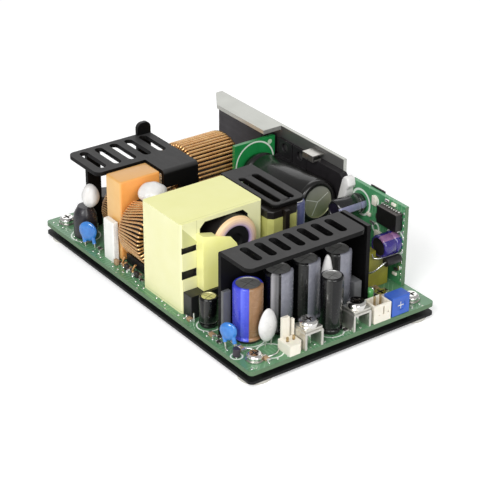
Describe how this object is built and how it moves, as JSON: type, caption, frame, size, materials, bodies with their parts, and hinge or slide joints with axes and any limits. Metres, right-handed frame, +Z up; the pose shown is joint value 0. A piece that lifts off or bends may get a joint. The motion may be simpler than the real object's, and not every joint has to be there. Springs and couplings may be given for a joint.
{
  "type": "open frame power supply",
  "caption": "Open frame switching power supply: green board on a base plate with folded black heatsinks, taped transformer, wound toroids, capacitors and screw terminals.",
  "frame": {"origin": "middle of the bounding box in plan, at the underside of the four feet", "axes": "+X along the board towards the low-voltage output end, +Y towards the aluminium side plate, +Z up from the board"},
  "size_m": [0.127, 0.0762, 0.0416],
  "materials": {
    "base_plate": "black insulating sheet, matte",
    "bead_thermistor": "white coating",
    "bias_capacitor": "slate shrink sleeve",
    "black_capacitor_sleeves": "shrink sleeve",
    "blue_capacitor_sleeve": "shrink sleeve",
    "board_screws": "nickel plated",
    "boost_inductor_core": "coated powder core",
    "boost_inductor_winding": "enamelled copper",
    "boost_transistors": "black epoxy",
    "bridge_clip": "spring steel",
    "bridge_rectifier": "black epoxy",
    "bulk_capacitor_can": "bare can",
    "bulk_capacitor_riser": "green solder mask",
    "bulk_capacitor_sleeve": "black shrink sleeve",
    "choke_cradles": "black moulding",
    "circuit_board": "green solder mask over glass laminate",
    "control_board": "green solder mask",
    "control_capacitor": "shrink sleeve with a grey band",
    "control_chips": "black epoxy",
    "control_diode": "black epoxy",
    "corner_standoffs": "plated brass, bright",
    "corner_washers": "zinc plated",
    "disc_capacitors": "blue epoxy",
    "drive_transformer_coil": "yellow tape",
    "drive_transformer_core": "ferrite",
    "film_capacitor": "orange moulded case",
    "header_housings": "natural nylon",
    "header_pins": "tinned",
    "heatsink_sensor": "dark moulding",
    "input_fuse": "moulded case",
    "input_heatsink": "black anodised, satin",
    "large_choke_core": "coated ferrite",
    "large_choke_windings": "enamelled copper",
    "output_heatsink": "black anodised, satin",
    "output_rectifiers": "black epoxy",
    "primary_heatsink": "black anodised, satin",
    "primary_transistors": "black epoxy",
    "sealant": "white silicone",
    "side_plate": "bare, brushed",
    "sleeved_thermistor": "black sleeve",
    "small_capacitor": "shrink sleeve",
    "small_choke_core": "coated ferrite",
    "small_choke_windings": "enamelled copper",
    "small_resistors": "white ceramic",
    "snubber_capacitor": "grey case",
    "standby_transformer": "yellow tape",
    "status_led": "green lens",
    "terminal_brackets": "tin plated",
    "terminal_clamps": "tin plated",
    "terminal_screws": "nickel plated",
    "transformer_bobbin": "black moulding",
    "transformer_coil": "beige tape over wire",
    "transformer_core": "pale yellow insulating tape over ferrite",
    "transformer_pin_rail": "black moulding",
    "transformer_tape": "yellow tape",
    "trimmer_body": "blue moulding",
    "trimmer_rotor": "white moulding",
    "upright_capacitor_cans": "bare can",
    "violet_capacitor": "violet shrink sleeve"
  },
  "bodies": {
    "supply": {"base_plate": "base_plate", "bead_thermistor": "bead_thermistor", "bias_capacitor": "bias_capacitor", "black_capacitor_sleeves": "black_capacitor_sleeves", "blue_capacitor_sleeve": "blue_capacitor_sleeve", "board_screws": "board_screws", "boost_inductor_core": "boost_inductor_core", "boost_inductor_winding": "boost_inductor_winding", "boost_transistors": "boost_transistors", "bridge_clip": "bridge_clip", "bridge_rectifier": "bridge_rectifier", "bulk_capacitor_can": "bulk_capacitor_can", "bulk_capacitor_riser": "bulk_capacitor_riser", "bulk_capacitor_sleeve": "bulk_capacitor_sleeve", "choke_cradles": "choke_cradles", "circuit_board": "circuit_board", "control_board": "control_board", "control_capacitor": "control_capacitor", "control_chips": "control_chips", "control_diode": "control_diode", "corner_standoffs": "corner_standoffs", "corner_washers": "corner_washers", "disc_capacitors": "disc_capacitors", "drive_transformer_coil": "drive_transformer_coil", "drive_transformer_core": "drive_transformer_core", "film_capacitor": "film_capacitor", "header_housings": "header_housings", "header_pins": "header_pins", "heatsink_sensor": "heatsink_sensor", "input_fuse": "input_fuse", "input_heatsink": "input_heatsink", "large_choke_core": "large_choke_core", "large_choke_windings": "large_choke_windings", "output_heatsink": "output_heatsink", "output_rectifiers": "output_rectifiers", "primary_heatsink": "primary_heatsink", "primary_transistors": "primary_transistors", "sealant": "sealant", "side_plate": "side_plate", "sleeved_thermistor": "sleeved_thermistor", "small_capacitor": "small_capacitor", "small_choke_core": "small_choke_core", "small_choke_windings": "small_choke_windings", "small_resistors": "small_resistors", "snubber_capacitor": "snubber_capacitor", "standby_transformer": "standby_transformer", "status_led": "status_led", "terminal_brackets": "terminal_brackets", "terminal_clamps": "terminal_clamps", "terminal_screws": "terminal_screws", "transformer_bobbin": "transformer_bobbin", "transformer_coil": "transformer_coil", "transformer_core": "transformer_core", "transformer_pin_rail": "transformer_pin_rail", "transformer_tape": "transformer_tape", "trimmer_body": "trimmer_body", "upright_capacitor_cans": "upright_capacitor_cans", "violet_capacitor": "violet_capacitor"},
    "trimmer": {"trimmer_rotor": "trimmer_rotor"}
  },
  "joints": [
    {"name": "trimmer_turn", "type": "hinge", "parent": "supply", "child": "trimmer", "pos_m": [0.062, 0.0233, 0.0095], "axis": [1, 0, 0], "range_deg": [-130, 130]}
  ]
}
